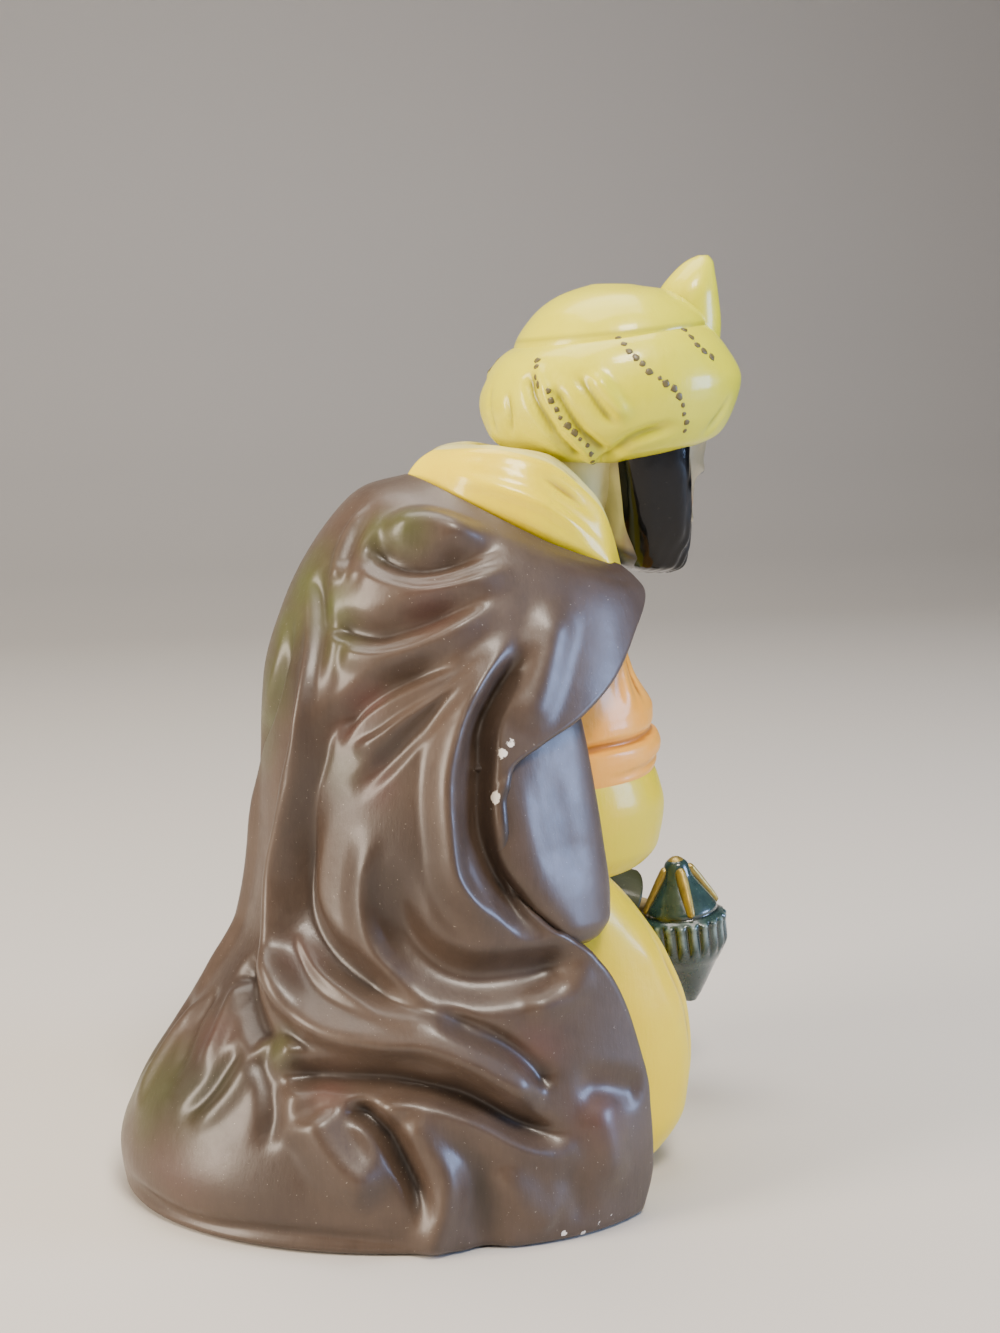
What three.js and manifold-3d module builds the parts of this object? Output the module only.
// Kneeling wise man: one painted casting, in millimetres, +Z up, looking along -Y.
// The origin is on the flat underside, under the figure's body. The figure's right side is -X.
import * as THREE from "three";
import Module from "manifold-3d";
import { mergeVertices } from "three/addons/utils/BufferGeometryUtils.js";

const wasm = await Module();
wasm.setup();

// Driving sizes
const TOTAL_HEIGHT = 111; // floor to the tip of the turban's plume
const CLOAK_LIP = 1.7; // thickness of the cloak's front edges
const CLOAK_SAG = 0.35; // how far the top edge sags between the nape and the front
const CLOAK_AXIS_Y = -6; // upright axis inside the cloak that its outside faces away from
const FOLD_REACH_MIN = 2.3; // narrowest half width of a fold that the facets carry
const SHORTEST_EDGE = 0.06; // edges below this, left where two surfaces meet, are closed up
const LEG_CENTRE = 9.6; // from the middle plane to the middle of each thigh
const SLEEVE_DEPTH = 6; // how far the hanging sleeve reaches into the body
const POT_AT = [12, -43.3]; // the pot's axis in plan

const degrees = THREE.MathUtils.degToRad;
const { lerp, clamp, smoothstep } = THREE.MathUtils;

// Smooth curve through rows of [key, value, value, ...] that never overshoots its rows.
function profile(rows) {
  const keys = rows.map((row) => row[0]);
  const count = rows[0].length - 1;
  const slopes = rows.map(() => new Array(count).fill(0));
  for (let c = 0; c < count; c++) {
    const secant = rows.slice(1).map((row, i) => (row[c + 1] - rows[i][c + 1]) / (keys[i + 1] - keys[i]));
    for (let i = 1; i < rows.length - 1; i++) {
      const before = secant[i - 1];
      const after = secant[i];
      slopes[i][c] = before * after > 0 ? (2 * before * after) / (before + after) : 0;
    }
    slopes[0][c] = secant[0];
    slopes[rows.length - 1][c] = secant[secant.length - 1];
  }
  return (key) => {
    const at = clamp(key, keys[0], keys[keys.length - 1]);
    let i = 0;
    while (i < keys.length - 2 && at > keys[i + 1]) i++;
    const span = keys[i + 1] - keys[i];
    const t = (at - keys[i]) / span;
    const value = (c) => {
      const [p, q] = [rows[i][c + 1], rows[i + 1][c + 1]];
      const [m, n] = [slopes[i][c] * span, slopes[i + 1][c] * span];
      const t2 = t * t;
      const t3 = t2 * t;
      return (2 * t3 - 3 * t2 + 1) * p + (t3 - 2 * t2 + t) * m + (3 * t2 - 2 * t3) * q + (t3 - t2) * n;
    };
    return Array.from({ length: count }, (_, c) => value(c));
  };
}

// Closed surface through rings of points, each ring running once round, with a fan over both ends.
function loft(rings) {
  const around = rings[0].length;
  const points = rings.flat();
  const index = [];
  for (let r = 0; r < rings.length - 1; r++)
    for (let c = 0; c < around; c++) {
      const [a, b] = [r * around + c, r * around + ((c + 1) % around)];
      index.push(a, b, b + around, a, b + around, a + around);
    }
  const centre = (ring) => ring.reduce((sum, p) => sum.add(p), new THREE.Vector3()).divideScalar(around);
  const [first, last] = [points.length, points.length + 1];
  points.push(centre(rings[0]), centre(rings[rings.length - 1]));
  const end = (rings.length - 1) * around;
  for (let c = 0; c < around; c++) {
    const next = (c + 1) % around;
    index.push(first, next, c);
    index.push(last, end + c, end + next);
  }
  const geometry = new THREE.BufferGeometry().setFromPoints(points);
  geometry.setIndex(index);
  return geometry;
}

// Turns a closed geometry into a solid that can be joined and cut.
function solid(geometry) {
  const plain = geometry.clone();
  plain.deleteAttribute("normal");
  plain.deleteAttribute("uv");
  const merged = mergeVertices(plain, 1e-4);
  const position = merged.getAttribute("position");
  const index = Array.from(merged.index.array);
  const [a, b, c] = [new THREE.Vector3(), new THREE.Vector3(), new THREE.Vector3()];
  let volume = 0;
  for (let i = 0; i < index.length; i += 3) {
    a.fromBufferAttribute(position, index[i]);
    b.fromBufferAttribute(position, index[i + 1]);
    c.fromBufferAttribute(position, index[i + 2]);
    volume += a.dot(b.cross(c));
  }
  if (volume < 0) index.reverse();
  const triVerts = new Uint32Array(index);
  return new wasm.Manifold(new wasm.Mesh({ numProp: 3, vertProperties: position.array, triVerts }));
}

// Point of a rounded outline in plan: turn 0 is +X, a quarter turn is +Y, and power 2 is an ellipse.
function outlinePoint(turn, radiusX, radiusY, power) {
  const [c, s] = [Math.cos(turn), Math.sin(turn)];
  const e = 2 / power;
  return [radiusX * Math.sign(c) * Math.abs(c) ** e, radiusY * Math.sign(s) * Math.abs(s) ** e];
}

// Rings of a body whose rows are [key, x, y, z, half width, front reach, back reach, tilt, power].
// The tilt in degrees lifts the ring's back edge.
function ringBody(rows, steps, around) {
  const at = profile(rows);
  const [low, high] = [rows[0][0], rows[rows.length - 1][0]];
  const ringAt = (key) => {
    const [x, y, z, half, front, back, tilt, power] = at(key);
    return Array.from({ length: around }, (_, j) => {
      const turn = (2 * Math.PI * j) / around;
      const [dx, dy] = outlinePoint(turn, half, Math.sin(turn) < 0 ? front : back, power);
      return new THREE.Vector3(x + dx, y + dy * Math.cos(degrees(tilt)), z + dy * Math.sin(degrees(tilt)));
    });
  };
  return Array.from({ length: steps + 1 }, (_, i) => ringAt(lerp(low, high, i / steps)));
}

// The cloak

// Rows down the right half: [row, border y, border z, half width, power of the outline's front part].
const CLOAK_RIGHT = [
  [0, -24.8, 74.3, 12.3, 2],
  [0.05, -26.6, 72.8, 14.2, 2.1],
  [0.1, -27.9, 71, 16, 2.2],
  [0.18, -24.6, 66.6, 18.6, 2.3],
  [0.26, -20.4, 61.9, 20.6, 2.4],
  [0.33, -15.4, 58.3, 22, 2.4],
  [0.38, -10.3, 55.8, 23, 2.5],
  [0.43, -6.4, 53.4, 23.8, 2.5],
  [0.48, -4.6, 49.6, 24.4, 2.5],
  [0.53, -4.8, 45, 25, 2.5],
  [0.58, -6.4, 40, 25.4, 2.5],
  [0.63, -9.8, 35.6, 25.8, 2.5],
  [0.68, -14.2, 32.5, 26, 2.5],
  [0.73, -17.6, 29.2, 26.4, 2.4],
  [0.8, -20.8, 22.8, 27.2, 2.3],
  [0.88, -23.1, 13.8, 28.8, 2.2],
  [0.95, -23.6, 5.5, 30.2, 2.1],
  [1, -21.8, 0, 30.2, 2.1],
];
// Rows down the left half, where the forearm comes out: [row, border y, border z, half width, front power].
const CLOAK_LEFT = [
  [0.0, -24.8, 74.3, 12.3, 2.0],
  [0.07, -25.0, 72.4, 14.8, 2.1],
  [0.13, -24.6, 69.6, 17.0, 2.2],
  [0.22, -21.5, 64.0, 19.4, 2.3],
  [0.33, -16.0, 56.0, 21.8, 2.4],
  [0.45, -12.0, 47.5, 23.4, 2.5],
  [0.56, -10.5, 40.5, 24.6, 2.5],
  [0.68, -12.5, 31.5, 25.4, 2.5],
  [0.8, -18.0, 21.5, 26.4, 2.4],
  [0.9, -22.5, 11.0, 28.0, 2.3],
  [1.0, -23.0, 0.0, 29.5, 2.1],
];
// Rows down the middle: [row, front reach y, y of the widest place, back y, back z].
const CLOAK_BACK = [
  [0, -31, -15.5, -1.6, 84.8],
  [0.05, -31.5, -14, 3.2, 83.6],
  [0.12, -32, -11.5, 8.4, 78.6],
  [0.22, -32.5, -9, 13.2, 70],
  [0.33, -33, -8, 15.8, 61],
  [0.45, -33.5, -7.5, 16.4, 51],
  [0.56, -34, -7.5, 17, 41],
  [0.66, -34.5, -7.5, 18.6, 31.5],
  [0.74, -35, -7.5, 22.7, 24.4],
  [0.82, -35.5, -7.5, 28, 18],
  [0.9, -35.5, -8, 32.8, 10.5],
  [0.95, -35, -8, 34.3, 5.2],
  [1, -34.5, -8, 33.6, 0],
];
const cloakRight = profile(CLOAK_RIGHT);
const cloakLeft = profile(CLOAK_LEFT);
const cloakBack = profile(CLOAK_BACK);

// Half a row of the cloak's outside, from the front border to the middle of the back.
function cloakHalfRow(row, table, side, count) {
  const [borderY, borderZ, half, power] = table(row);
  const [frontY, middle, backY, backZ] = cloakBack(row);
  const reach = borderY < middle ? middle - frontY : backY - middle;
  const sine = clamp((borderY - middle) / reach, -0.98, 0.98);
  const start = Math.sign(sine) * Math.asin(Math.abs(sine) ** ((borderY < middle ? power : 2) / 2));
  const sag = 1 + CLOAK_SAG * (1 - smoothstep(row, 0, 0.15));
  return Array.from({ length: count }, (_, i) => {
    const turn = lerp(start, Math.PI / 2, i / count);
    const [depth, roundness] = turn < 0 ? [middle - frontY, power] : [backY - middle, 2];
    const [x, y] = outlinePoint(turn, half, depth, roundness);
    const rise = (Math.sin(turn) - Math.sin(start)) / (1 - Math.sin(start));
    return new THREE.Vector3(side * x, middle + y, lerp(borderZ, backZ, rise ** sag));
  });
}

// Whole outside of one row: right border, back, left border.
function cloakOutside(row, perRight, perLeft) {
  const right = cloakHalfRow(row, cloakRight, -1, perRight);
  const left = cloakHalfRow(row, cloakLeft, 1, perLeft);
  const [, , backY, backZ] = cloakBack(row);
  return [...right, new THREE.Vector3(0, backY, backZ), ...left.reverse()];
}

// A fold of the cloak: a ridge (height above 0) or a groove along a path on the cloth, with its reach
// to the left and right of the path as seen from outside, and the share over which each end fades.
function fold(height, [left, right], [fadeIn, fadeOut], path) {
  return { height, left, right, fadeIn, fadeOut, path };
}

const FOLDS = [
  // long ridge down the right of the back, turning forward round the hip
  fold(1.9, [3.4, 3], [0.3, 0.12], [
    [-8.5, 10.5, 70.5], [-10.5, 11.5, 65.5], [-11.5, 12.5, 61], [-11.5, 13, 56.5], [-11, 13.5, 51.5],
    [-10, 14.5, 46.5], [-8.5, 15.5, 42.5], [-8, 16, 37.5], [-9, 16.5, 33], [-13, 17, 27],
    [-16.5, 16.5, 24], [-20, 14, 22], [-23, 10, 22], [-25, 4.5, 22], [-26.5, 1.5, 21],
    [-27, -1.5, 19.5], [-28, -5.5, 17.5], [-28.5, -9, 15.5],
  ]),
  // valley behind the long ridge
  fold(-1.1, [1.6, 1.8], [0.3, 0.3], [
    [-2, 12.5, 71], [-4, 14.5, 65], [-4, 15.5, 59], [-2, 16, 53], [4, 16.5, 44.5],
  ]),
  // valley in front of the long ridge
  fold(-1.3, [2.4, 1.1], [0.15, 0.3], [
    [-1.5, 10.5, 75.5], [-9, 12, 67], [-11, 12.5, 60], [-11.5, 13, 55], [-11, 14, 48.5],
    [-10, 15, 42.5],
  ]),
  // shoulder bulge
  fold(1.5, [3.2, 3], [0.3, 0.4], [
    [-10.5, 3.5, 78], [-11.5, 1, 78.5], [-13, -2, 78.5], [-14.5, -5.5, 77.5],
  ]),
  // hollow under the shoulder
  fold(-1.4, [2.8, 1.5], [0.2, 0.4], [
    [-10.5, 5.5, 76], [-12.5, 3, 75.5], [-14.5, -0, 75.5], [-15, -5, 76.5], [-15, -8.5, 77],
  ]),
  // first pull fold, groove
  fold(-1.6, [3.2, 1.2], [0.1, 0.3], [
    [-11, 10, 68], [-14, 7.5, 67.5], [-16, 4, 68.5], [-17, 0.5, 69.5], [-17.5, -2.5, 70.5],
    [-17.5, -5.5, 72],
  ]),
  // first pull fold, ridge
  fold(0.7, [0.9, 2.6], [0.1, 0.3], [
    [-13, 9.5, 66], [-15.5, 6.5, 65.5], [-17, 3.5, 66.5], [-18, -0.5, 68.5], [-18, -4.5, 70.5],
    [-17.5, -8, 71.5],
  ]),
  // second pull fold, groove
  fold(-1.5, [3.2, 1.3], [0.3, 0.3], [
    [-15, 10.5, 55.5], [-15.5, 9, 59], [-16.5, 7, 61.5], [-17.5, 4.5, 63], [-19, 1, 64.5],
    [-19.5, -3.5, 66],
  ]),
  // second pull fold, ridge
  fold(0.7, [1, 2.2], [0.2, 0.3], [
    [-16.5, 9, 55], [-18, 6.5, 57.5], [-19, 4, 60], [-19.5, 1.5, 62], [-20, -2.5, 64.5],
    [-19.5, -6.5, 66.5],
  ]),
  // third pull fold, groove
  fold(-0.9, [1.6, 1.6], [0.3, 0.3], [
    [-19.5, 5.5, 55.5], [-20.5, 1.5, 58.5], [-20.5, -2, 61.5], [-20, -5.5, 64.5],
  ]),
  // third pull fold, ridge
  fold(0.7, [1.4, 2.2], [0.3, 0.3], [
    [-18, 8, 52.5], [-20, 4.5, 55], [-21, 0.5, 58.5], [-21, -3.5, 62],
  ]),
  // soft edge down the side
  fold(0.5, [1.6, 3.4], [0.25, 0.25], [
    [-20.5, 5, 50], [-20, 7, 45.5], [-20, 7.5, 41], [-21, 7, 36], [-22.5, 5.5, 32.5],
    [-24.5, 2.5, 28.5],
  ]),
  // hollow beside the soft edge
  fold(-0.7, [3.4, 1.6], [0.25, 0.3], [
    [-21, 5.5, 44.5], [-21, 6, 40], [-22, 5.5, 35.5], [-24, 3.5, 31], [-25.5, -0, 27.5],
  ]),
  // rolled edge round the arm, crest
  fold(2.4, [1.6, 3.2], [0.3, 0.15], [
    [-19, -10.5, 67.5], [-20, -7, 65], [-20.5, -5, 62.5], [-21.5, -3, 59.5], [-22.5, -1.5, 56],
    [-23, -0.5, 51.5], [-23.5, -0.5, 46.5], [-24.5, -1.5, 42.5], [-25, -2.5, 39], [-25.5, -4, 36],
  ]),
  // forearm under the cloth
  fold(1, [3.5, 3.5], [0.3, 0.2], [
    [-17, -14.5, 72], [-19.5, -12.5, 66.5], [-21.5, -9.5, 60.5], [-23, -7, 55.5],
  ]),
  // valley under the sleeve
  fold(-2, [3.4, 3.2], [0.3, 0.15], [
    [-25.5, -2, 32.5], [-26, -7.5, 30.5], [-26, -12.5, 29.5], [-25, -17.5, 30.5],
  ]),
  // deep valley under the band of ridges
  fold(-2.4, [1.8, 1.8], [0.15, 0.15], [
    [-18.5, 19, 18], [-19, 17.5, 20], [-21, 14.5, 20.5], [-24, 9.5, 20], [-26.5, 2.5, 19.5],
    [-27.5, -2, 17.5], [-28.5, -6.5, 14], [-29, -10.5, 11.5],
  ]),
  // crest under that valley
  fold(1.3, [1.1, 3], [0.1, 0.25], [
    [-25, 9.5, 16], [-25.5, 6.5, 17], [-27, 2.5, 17], [-28, -0.5, 15.5], [-28.5, -3.5, 14],
    [-29, -7, 12.5], [-29, -11, 11.5],
  ]),
  // groove curving down to the hem
  fold(-1.9, [1.5, 1.3], [0.15, 0.15], [
    [-23, 13.5, 17], [-25, 10.5, 15], [-26.5, 8, 12], [-27.5, 6.5, 9.5], [-28.5, 5.5, 6.5],
    [-28.5, 6, 3.5],
  ]),
  // bulge behind that groove
  fold(2, [3.5, 3], [0.15, 0.25], [
    [-20.5, 17, 16], [-22.5, 16.5, 13], [-24.5, 14.5, 9.5], [-26.5, 11.5, 7.5], [-28, 7.5, 5.5],
  ]),
  // crest in front of that groove
  fold(1.6, [2.4, 1.4], [0.15, 0.15], [
    [-26, 6.5, 15.5], [-27.5, 4, 12.5], [-28.5, 2.5, 10], [-29, 2, 8], [-29, 3, 5],
  ]),
  // notch in the hem
  fold(-2, [1.6, 2], [0.4, 0], [
    [-29.5, -1, 8.5], [-30, -1.5, 5], [-30, -1.5, 0.5],
  ]),
  // rise in front of the notch
  fold(1, [2.5, 1.1], [0.2, 0.1], [
    [-29.5, -3, 9], [-30, -4.5, 5.5], [-30, -7.5, 2],
  ]),
  // swell over the right knee
  fold(1, [3.5, 3.5], [0.3, 0.3], [
    [-28, -13.5, 14.5], [-28.5, -16.5, 9.5], [-28.5, -17.5, 4.5],
  ]),
  // edge of cloth under the sleeve's valley
  fold(0.7, [1.5, 3], [0.3, 0.2], [
    [-26.5, -9, 26], [-26.5, -12, 28], [-25.5, -15.5, 30],
  ]),
  // slack above the knee
  fold(-0.7, [2.5, 2.5], [0.3, 0.2], [
    [-27.5, -13.5, 17.5], [-27, -18, 16.5], [-24.5, -24, 14.5],
  ]),
  // hollow at the root of the train
  fold(-2.4, [1.2, 3], [0.1, 0.2], [
    [-5.5, 20, 27.5], [-11.5, 19.5, 25], [-16, 18, 22.5],
  ]),
  // small rise under that hollow
  fold(1.5, [1.4, 2], [0.3, 0.3], [
    [-14, 20.5, 22], [-16.5, 18.5, 22], [-19, 16, 21],
  ]),
  // train ridge
  fold(1.1, [1.6, 1.6], [0.2, 0.3], [
    [-6.5, 19.5, 27.5], [-7, 22, 24], [-9, 24, 20.5], [-11, 25.5, 17],
  ]),
  // train groove outside the ridge
  fold(-0.9, [1.2, 1.2], [0.2, 0.3], [
    [2, 22, 25], [1, 24.5, 21.5], [-2.5, 27, 19], [-6, 29, 15],
  ]),
  // train groove inside the ridge
  fold(-0.8, [0.9, 0.9], [0.2, 0.3], [
    [-7, 22, 24], [-9, 23.5, 21], [-11.5, 25, 17.5],
  ]),
  // long train groove
  fold(-1.4, [1.3, 1.1], [0.2, 0.3], [
    [-14, 21, 21], [-17.5, 20, 17.5], [-19, 20.5, 14], [-19.5, 21.5, 10.5],
  ]),
  // ridge in front of it
  fold(0.8, [1.4, 1.2], [0.2, 0.3], [
    [-18.5, 18, 20], [-20, 18, 16.5], [-21.5, 19, 11.5],
  ]),
  // second train ridge
  fold(0.7, [1.2, 1.4], [0.2, 0.3], [
    [-13, 23, 19], [-14.5, 24, 15.5], [-14.5, 26, 11.5],
  ]),
  // left ridge from the shoulder to the hip
  fold(1.8, [2.6, 3], [0.2, 0.15], [
    [5.5, 8.5, 76.5], [11, 10, 67.5], [14.5, 10.5, 58], [14.5, 11.5, 47], [14.5, 13, 36.5],
    [18.5, 11.5, 29], [23.5, 5, 24], [26.5, -4.5, 19], [27.5, -12, 13],
  ]),
  // left groove in front of that ridge
  fold(-1.4, [1.4, 2.4], [0.25, 0.15], [
    [17, 8, 54], [19, 8, 43], [21.5, 5.5, 34], [25, -0, 28], [26, -7, 22.5],
  ]),
  // left pull fold, groove
  fold(-1.3, [2, 2], [0.25, 0.25], [
    [13.5, 3.5, 73.5], [18, 1, 66], [21.5, -4, 57], [23.5, -8, 48],
  ]),
  // left pull fold, ridge
  fold(1, [2, 2], [0.25, 0.25], [
    [15.5, -1, 73.5], [20, -5, 63.5], [22.5, -9, 54], [24, -11, 44.5],
  ]),
  // left valley over the hem
  fold(-1.8, [2, 2], [0.2, 0.2], [
    [19, 18.5, 16], [24, 10, 15.5], [27, 0, 14], [28, -9, 10],
  ]),
  // left train groove
  fold(-1.4, [1.6, 1.6], [0.2, 0.2], [
    [10.5, 22, 21.5], [16.5, 22.5, 15], [19.5, 21.5, 7.5],
  ]),
  // left hem notch
  fold(-1.6, [2, 2], [0.4, 0], [
    [27, 4, 9], [28, 3, 4], [28.5, 3, 0],
  ]),
  // middle back ridge
  fold(1, [2.4, 2.4], [0.3, 0.3], [
    [2.5, 16, 54], [3, 17, 40], [5, 20, 27.5], [5.5, 27.5, 17],
  ]),
  // middle back groove
  fold(-1.1, [2, 2], [0.3, 0.3], [
    [8, 15, 49.5], [9, 16, 38], [10, 18.5, 27.5], [10.5, 23.5, 20],
  ]),
];

const CLOAK_ROWS = 46;
const CLOAK_RIGHT_STEPS = 40;
const CLOAK_LEFT_STEPS = 14;
const FOLD_SAMPLES = 3; // samples of the folds' height along each edge of a facet
const FOLD_SPREAD = 3; // samples on every side that a point's height is averaged over

// Smooth path through a fold's points, with the share of its length at each step.
function foldPath(fold) {
  const points = fold.path.map((p) => new THREE.Vector3(...p));
  const curve = new THREE.CatmullRomCurve3(points, false, "centripetal");
  return curve.getSpacedPoints(Math.max(8, Math.round(curve.getLength() / 1.5)));
}

// How far one fold lifts the cloth at a point with the outward normal given.
function foldLift(fold, path, point, normal) {
  let best = Infinity;
  let share = 0;
  let side = 0;
  const [along, off] = [new THREE.Vector3(), new THREE.Vector3()];
  for (let i = 0; i < path.length - 1; i++) {
    along.subVectors(path[i + 1], path[i]);
    off.subVectors(point, path[i]);
    const t = clamp(off.dot(along) / along.lengthSq(), 0, 1);
    off.addScaledVector(along, -t);
    const distance = off.length();
    if (distance >= best) continue;
    best = distance;
    share = (i + t) / (path.length - 1);
    side = along.cross(off).normalize().dot(normal);
  }
  const reach = lerp(fold.right, fold.left, clamp(0.5 + 0.6 * side, 0, 1));
  const u = best / Math.max(reach, FOLD_REACH_MIN);
  if (u >= 1) return 0;
  const start = fold.fadeIn > 0 ? smoothstep(share, 0, fold.fadeIn) : 1;
  const end = fold.fadeOut > 0 ? 1 - smoothstep(share, 1 - fold.fadeOut, 1) : 1;
  return fold.height * (1 - u) ** 2 * (1 + 2 * u) * start * end;
}

// Outward normal at a place in a grid of points, levelled off towards the floor so the foot stays flat.
function clothNormal(rows, r, c) {
  const row = rows[r];
  const down = rows[Math.min(r + 1, rows.length - 1)][c].clone().sub(rows[Math.max(r - 1, 0)][c]);
  const across = row[Math.min(c + 1, row.length - 1)].clone().sub(row[Math.max(c - 1, 0)]);
  const normal = down.cross(across).normalize();
  if (normal.dot(new THREE.Vector3(row[c].x, row[c].y - CLOAK_AXIS_Y, 0)) < 0) normal.negate();
  normal.z *= smoothstep(row[c].z, 0, 4);
  return normal.normalize();
}

// The cloak's outside with its folds. Their height is averaged over a finer grid, so that a narrow one
// doesn't fall between two points.
function foldedCloak() {
  const grid = (k) =>
    Array.from({ length: CLOAK_ROWS * k + 1 }, (_, i) =>
      cloakOutside(i / (CLOAK_ROWS * k), CLOAK_RIGHT_STEPS * k, CLOAK_LEFT_STEPS * k),
    );
  const [rows, fine] = [grid(1), grid(FOLD_SAMPLES)];
  const paths = FOLDS.map(foldPath);
  const lifts = fine.map((row, r) =>
    row.map((p, c) => {
      const normal = clothNormal(fine, r, c);
      return FOLDS.reduce((sum, fold, i) => sum + foldLift(fold, paths[i], p, normal), 0);
    }),
  );
  return rows.map((row, r) =>
    row.map((p, c) => {
      let [sum, total] = [0, 0];
      for (let i = -FOLD_SPREAD; i <= FOLD_SPREAD; i++)
        for (let j = -FOLD_SPREAD; j <= FOLD_SPREAD; j++) {
          const lift = lifts[r * FOLD_SAMPLES + i]?.[c * FOLD_SAMPLES + j];
          if (lift === undefined) continue;
          const weight = (FOLD_SPREAD + 1 - Math.abs(i)) * (FOLD_SPREAD + 1 - Math.abs(j));
          sum += lift * weight;
          total += weight;
        }
      return p.clone().addScaledVector(clothNormal(rows, r, c), sum / total);
    }),
  );
}

function cloakGeometry() {
  const rings = foldedCloak().map((outside) => {
    const [right, left] = [outside[0], outside[outside.length - 1]];
    const inside = (p, inward, back) => new THREE.Vector3(p.x + Math.sign(-p.x) * inward, p.y + back, p.z);
    return [
      ...outside,
      inside(left, CLOAK_LIP, 0.2),
      inside(left, CLOAK_LIP + 2.5, 5),
      inside(right, CLOAK_LIP + 2.5, 5),
      inside(right, CLOAK_LIP, 0.2),
    ];
  });
  return loft(rings);
}

// Everything else is rows of [key, x, y, z, half width, front reach, back reach, tilt, power].

const VEST = [
  [0, 0, -16, 46.6, 15.0, 16.2, 10, -10, 2.4],
  [1, 0, -16, 48.4, 15.2, 16.7, 10, -8, 2.4],
  [2, 0, -16, 50.4, 15.3, 16.9, 10, -6, 2.4],
  [3, 0, -16, 54.0, 15.1, 15.7, 10, -4, 2.4],
  [4, 0, -16, 55.8, 15.0, 15.8, 10, -3, 2.3],
  [5, 0, -16, 61.1, 14.2, 13.2, 10, 0, 2.2],
  [6, 0, -16, 66.0, 13.1, 11.8, 10, 0, 2.1],
  [7, 0, -16, 70.0, 12.0, 10.9, 10, 0, 2.1],
  [8, 0, -16, 76.0, 9.0, 9.0, 9, 0, 2],
  [9, 0, -16, 80.0, 6.0, 6.0, 6, 0, 2],
];
const POUCH = [
  [35.8, 0, -16, 35.8, 11.0, 8.6, 9, 0, 2],
  [36.3, 0, -16, 36.3, 13.0, 11.8, 10, 0, 2.2],
  [37.6, 0, -16, 37.6, 14.5, 14.9, 10, 0, 2.4],
  [39.7, 0, -16, 39.7, 15.4, 16.6, 10, 0, 2.4],
  [44.4, 0, -16, 44.4, 15.7, 17.3, 10, 0, 2.4],
  [48.0, 0, -16, 48.0, 15.2, 16.4, 10, 0, 2.4],
  [50.5, 0, -16, 50.5, 14.4, 15.2, 9, 0, 2.3],
];
const LEG = [
  [0, 0, -16, 0, 7.4, 8.0, 9, 0, 2.2],
  [1.2, 0, -16, 1.2, 8.6, 11.2, 9, 0, 2.3],
  [3, 0, -16, 3, 9.5, 14.4, 9, 0, 2.4],
  [7.8, 0, -16, 7.8, 10.6, 17.5, 9, 0, 2.4],
  [14, 0, -16, 14, 10.6, 18.3, 9, 0, 2.4],
  [19.6, 0, -16, 19.6, 10.4, 17.7, 9, 0, 2.4],
  [26.8, 0, -16, 26.8, 10, 14.9, 9, 0, 2.3],
  [31.8, 0, -16, 31.8, 9.7, 11.6, 9, 0, 2.3],
  [35.2, 0, -16, 35.2, 9.4, 8.8, 8, 0, 2.2],
  [38, 0, -16, 38, 8, 6, 6, 0, 2],
];
// The collar's lines round the neck, from under the cloak over its roll and down inside. Each is
// rows of [share from back to front, x, y, z] for the left half, mirrored for the right.
const COLLAR = [
  [
    [0, 0, -3.5, 81.5], [0.25, 7.5, -8, 79.5], [0.5, 10.5, -14.5, 76.4], [0.75, 9.5, -21.5, 72.5],
    [1, 0, -27.5, 64],
  ],
  [
    [0, 0, -1.4, 84.2], [0.25, 8.6, -6.4, 82.4], [0.5, 12.1, -14.8, 78.8],
    [0.75, 10.8, -23.2, 74.4], [1, 0, -29.4, 64.6],
  ],
  [
    [0, 0, -2.4, 86.0], [0.25, 8.2, -6.8, 85.2], [0.5, 11.4, -14.6, 82.6],
    [0.75, 10.4, -22.6, 77.4], [1, 0, -30, 66.4],
  ],
  [
    [0, 0, -4.8, 87.6], [0.25, 6.8, -8.6, 88.0], [0.5, 9.4, -15.4, 86.6], [0.75, 9.2, -22.2, 81.6],
    [1, 0, -30.2, 68.8],
  ],
  [
    [0, 0, -7.2, 88.2], [0.25, 5.2, -10.6, 88.4], [0.5, 7.6, -16.2, 87.4], [0.75, 8.0, -22.0, 82.8],
    [1, 0, -29.4, 70.2],
  ],
  [
    [0, 0, -10.0, 85.5], [0.25, 4.0, -12.6, 85.0], [0.5, 5.6, -17.0, 83.0],
    [0.75, 5.6, -21.2, 79.0], [1, 0, -26.4, 70.6],
  ],
];

function collarGeometry(half) {
  const rings = COLLAR.map((line) => {
    const at = profile(line);
    const side = Array.from({ length: half + 1 }, (_, i) => new THREE.Vector3(...at(i / half)));
    const mirrored = side.slice(1, -1).reverse().map((p) => new THREE.Vector3(-p.x, p.y, p.z));
    return [...side, ...mirrored];
  });
  return loft(rings);
}

const HEAD = [
  [0, 0, -23, 74, 5.5, 5.5, 6, 0, 2],
  [1, 0, -24.5, 78, 6.4, 7.5, 6.5, 0, 2],
  [2, 0, -27, 82, 7.8, 10.5, 8, 0, 2.1],
  [3, 0, -28, 86, 8.8, 10.2, 9, 0, 2.1],
  [4, 0, -28.5, 92, 9.2, 10.2, 9, 0, 2.1],
];
const BEARD = [
  [0, 0, -33.4, 72.2, 2.4, 2.0, 2.2, 0, 2],
  [1, 0, -33.2, 73.0, 4.4, 3.3, 3.4, 0, 2.6],
  [2, 0, -32.6, 75.0, 5.8, 4.2, 4.2, 0, 3],
  [3, 0, -31.6, 79.0, 7.9, 4.8, 4.8, 0, 3.4],
  [4, 0, -30.4, 86.0, 9.6, 5.0, 5.2, 0, 4],
  [5, 0, -30.0, 91.0, 10.0, 5.0, 5.4, 0, 4],
];
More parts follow.
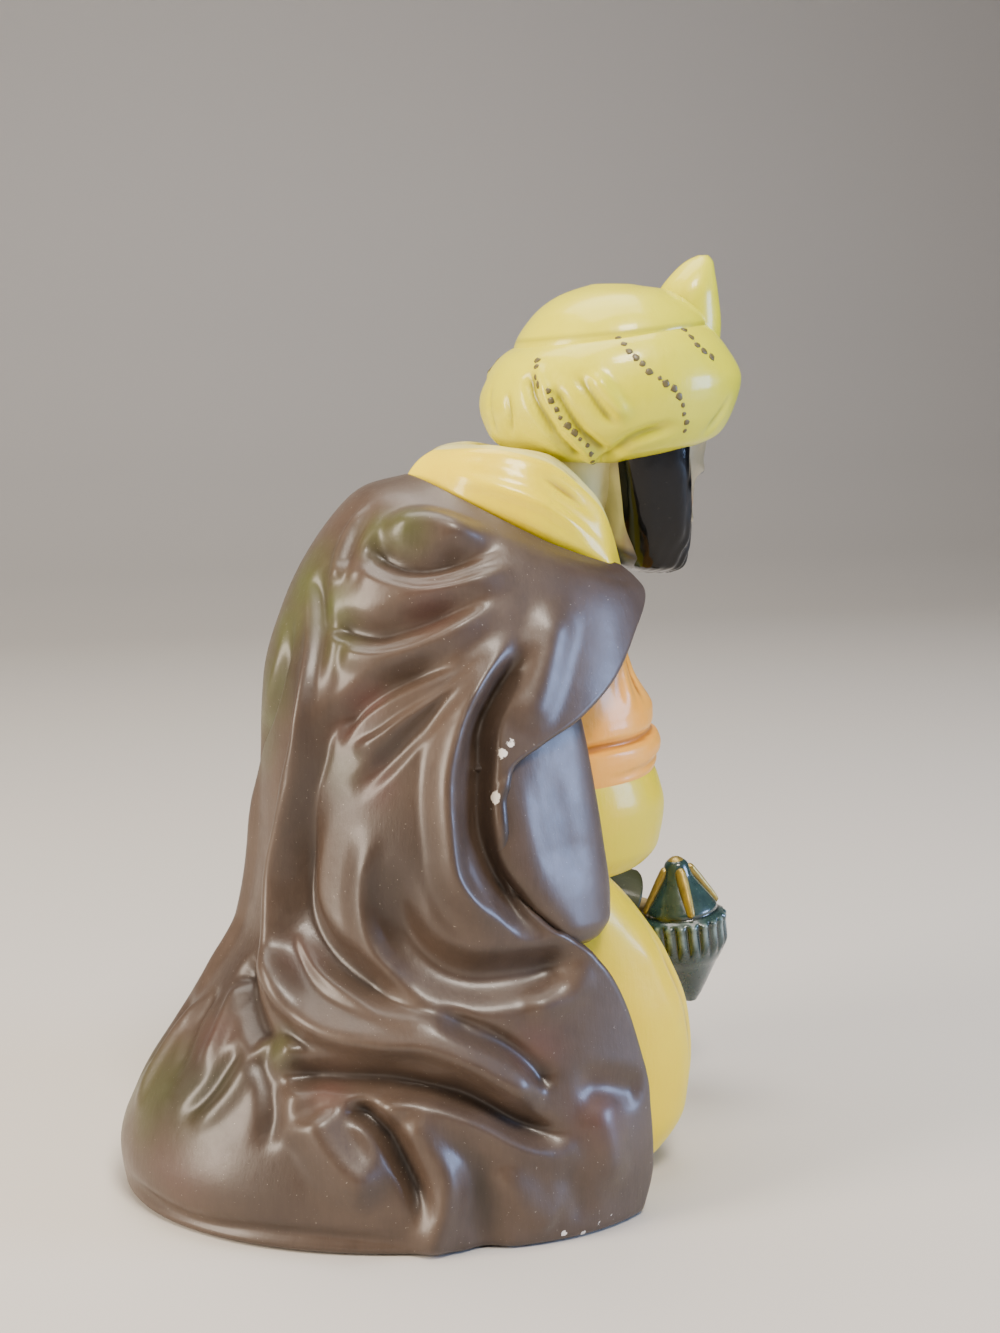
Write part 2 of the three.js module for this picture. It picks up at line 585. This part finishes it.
const TURBAN = [
  [0, 0, -29, 86.6, 8, 8, 6.5, -9, 2],
  [1, 0, -28.4, 87.6, 11.4, 12.4, 10.4, -9, 2.1],
  [2, 0, -27.6, 91, 13.8, 15, 15.2, -7, 2.1],
  [3, 0, -27.6, 94.6, 14.4, 15.8, 16.4, -6, 2.1],
  [4, 0, -27.4, 98.2, 13.6, 13.9, 15.4, -8, 2.1],
  [5, 0, -27.2, 101, 11.6, 11.4, 13, -9, 2],
  [6, 0, -27.2, 102, 9, 9, 10, -9, 2],
];
const CROWN = [
  [0, 0, -27.2, 97.0, 11.2, 11.6, 11.6, -8, 2],
  [1, 0, -27.2, 101.0, 11.4, 11.8, 11.8, -8, 2],
  [2, 0, -27.2, 104.3, 9.4, 9.6, 9.6, -6, 2],
  [3, 0, -27.4, 106.3, 6.2, 6.6, 6.6, -4, 2],
  [4, 0, -27.6, 107.3, 2.4, 2.6, 2.6, 0, 2],
];
const PLUME = [
  [0, 0, -37, 97, 3.6, 4.2, 5, 0, 2],
  [1, 0, -37.4, 102, 4, 4.2, 5, 0, 2],
  [2, 0, -37.6, 106.2, 3.7, 3.6, 3.9, 0, 2],
  [3, 0, -38.3, 108.8, 2.7, 2.5, 2.6, 0, 2],
  [4, 0, -39.1, 110.3, 1.5, 1.4, 1.6, 0, 2],
  [5, 0, -39.5, TOTAL_HEIGHT, 0.5, 0.4, 0.5, 0, 2],
];
const POT = [
  [0, 0, -1.3, 11.8, 0.8, 0.8, 0.8, -7, 2],
  [1, 0, -1.2, 12.8, 1.5, 1.5, 1.5, -7, 2],
  [2, 0, -0.65, 17.2, 4.1, 4.1, 4.1, -7, 2],
  [3, 0, -0.4, 18.9, 5.2, 5.2, 5.2, -7, 2],
  [4, 0, -0.15, 20.8, 5.9, 5.9, 5.9, -7, 2],
  [5, 0, 0.1, 23, 6.0, 6.0, 6.0, -7, 2],
  [6, 0, 0.35, 25, 5.2, 5.2, 5.2, -7, 2],
  [7, 0, 0.65, 27.4, 3.5, 3.5, 3.5, -7, 2],
  [8, 0, 0.95, 29.6, 2.1, 2.1, 2.1, -7, 2],
  [9, 0, 1.15, 31.2, 1.5, 1.5, 1.5, -7, 2],
  [10, 0, 1.2, 32, 0.5, 0.5, 0.5, -7, 2],
];
const FOREARM = [
  [0, 17.4, -6.0, 40.0, 5.6, 6.0, 6.0, 112, 2],
  [1, 18.2, -14.0, 36.5, 5.4, 5.6, 5.6, 115, 2],
  [2, 18.0, -22.0, 32.0, 5.2, 5.2, 5.2, 120, 2],
  [3, 16.8, -29.0, 28.0, 4.7, 4.6, 4.6, 122, 2],
  [4, 15.0, -34.6, 26.8, 5.2, 4.7, 4.7, 118, 2],
  [5, 15.2, -36.8, 24.2, 3.0, 2.6, 2.6, 124, 2],
  [6, 15.4, -39.4, 20.8, 2.8, 2.2, 2.2, 132, 2],
  [7, 14.6, -41.5, 17.6, 1.8, 1.6, 1.6, 140, 2],
];
// Hanging sleeve seen in the cloak's opening: [z, front x, front y, back x, back y, bulge].
const SLEEVE = [
  [32.2, -21.0, -17.0, -22.6, -13.5, 0.4],
  [33.0, -20.3, -18.2, -23.6, -12.6, 1.2],
  [35.0, -19.3, -19.5, -24.0, -11.0, 1.6],
  [38.0, -18.8, -19.8, -24.2, -8.5, 1.6],
  [44.0, -18.2, -19.3, -23.6, -5.0, 1.5],
  [50.0, -17.6, -18.5, -22.5, -4.5, 1.3],
  [56.0, -16.8, -17.6, -20.5, -6.0, 1.0],
  [60.0, -15.5, -17.0, -18.0, -8.0, 0.6],
];

function sleeveGeometry(levels, around) {
  const at = profile(SLEEVE);
  const [low, high] = [SLEEVE[0][0], SLEEVE[SLEEVE.length - 1][0]];
  const rings = Array.from({ length: levels + 1 }, (_, i) => {
    const z = lerp(low, high, (i / levels) ** 1.4);
    const [frontX, frontY, backX, backY, bulge] = at(z);
    const middle = new THREE.Vector3((frontX + backX) / 2, (frontY + backY) / 2, z);
    const along = new THREE.Vector3((backX - frontX) / 2, (backY - frontY) / 2, 0);
    const out = new THREE.Vector3(-along.y, along.x, 0).normalize();
    return Array.from({ length: around }, (_, j) => {
      const turn = (2 * Math.PI * j) / around;
      const [a, b] = outlinePoint(turn, 1, Math.sin(turn) > 0 ? bulge + 1 : SLEEVE_DEPTH, 2.6);
      return middle.clone().addScaledVector(along, a).addScaledVector(out, b);
    });
  });
  return loft(rings);
}

const placed = (geometry, x, y, z) => geometry.translate(x, y, z);
const pieces = [
  cloakGeometry(),
  loft(ringBody(VEST, 9, 20)),
  loft(ringBody(POUCH, 7, 20)),
  placed(loft(ringBody(LEG, 9, 16)), -LEG_CENTRE, 0, 0),
  placed(loft(ringBody(LEG, 9, 16)), LEG_CENTRE, 0, 0),
  collarGeometry(12),
  loft(ringBody(HEAD, 4, 12)),
  loft(ringBody(BEARD, 6, 14)),
  loft(ringBody(TURBAN, 8, 24)),
  loft(ringBody(CROWN, 5, 18)),
  loft(ringBody(PLUME, 6, 8)),
  placed(loft(ringBody(POT, 10, 14)), POT_AT[0], POT_AT[1], 0),
  loft(ringBody(FOREARM, 8, 10)),
  sleeveGeometry(8, 14),
];
const figure = pieces.map(solid).reduce((whole, piece) => whole.add(piece));

// The same mesh with every edge shorter than the limit closed up.
function closeShortEdges(data, limit) {
  const [at, index] = [data.vertProperties, data.triVerts];
  const kept = Array.from({ length: at.length / 3 }, (_, i) => i);
  const find = (i) => {
    while (kept[i] !== i) i = kept[i];
    return i;
  };
  const point = (i) => new THREE.Vector3(at[3 * i], at[3 * i + 1], at[3 * i + 2]);
  for (let i = 0; i < index.length; i++) {
    const [a, b] = [find(index[i]), find(index[i % 3 === 2 ? i - 2 : i + 1])];
    if (a !== b && point(a).distanceTo(point(b)) < limit) kept[b] = a;
  }
  const triVerts = [];
  for (let i = 0; i < index.length; i += 3) {
    const [a, b, c] = [find(index[i]), find(index[i + 1]), find(index[i + 2])];
    if (a !== b && b !== c && c !== a) triVerts.push(a, b, c);
  }
  const mesh = new wasm.Mesh({ numProp: 3, vertProperties: at, triVerts: new Uint32Array(triVerts) });
  return new wasm.Manifold(mesh).getMesh();
}

function meshOf(name, piece, material) {
  const data = closeShortEdges(piece.getMesh(), SHORTEST_EDGE);
  const geometry = new THREE.BufferGeometry();
  geometry.setAttribute("position", new THREE.Float32BufferAttribute(data.vertProperties, 3));
  geometry.setIndex(new THREE.BufferAttribute(data.triVerts, 1));
  geometry.computeVertexNormals();
  const mesh = new THREE.Mesh(geometry, material);
  mesh.name = name;
  return mesh;
}

const group = new THREE.Group();
group.add(meshOf("wise_man", figure, new THREE.MeshStandardMaterial({ color: 0x7a665c, roughness: 0.35 })));
export default group;
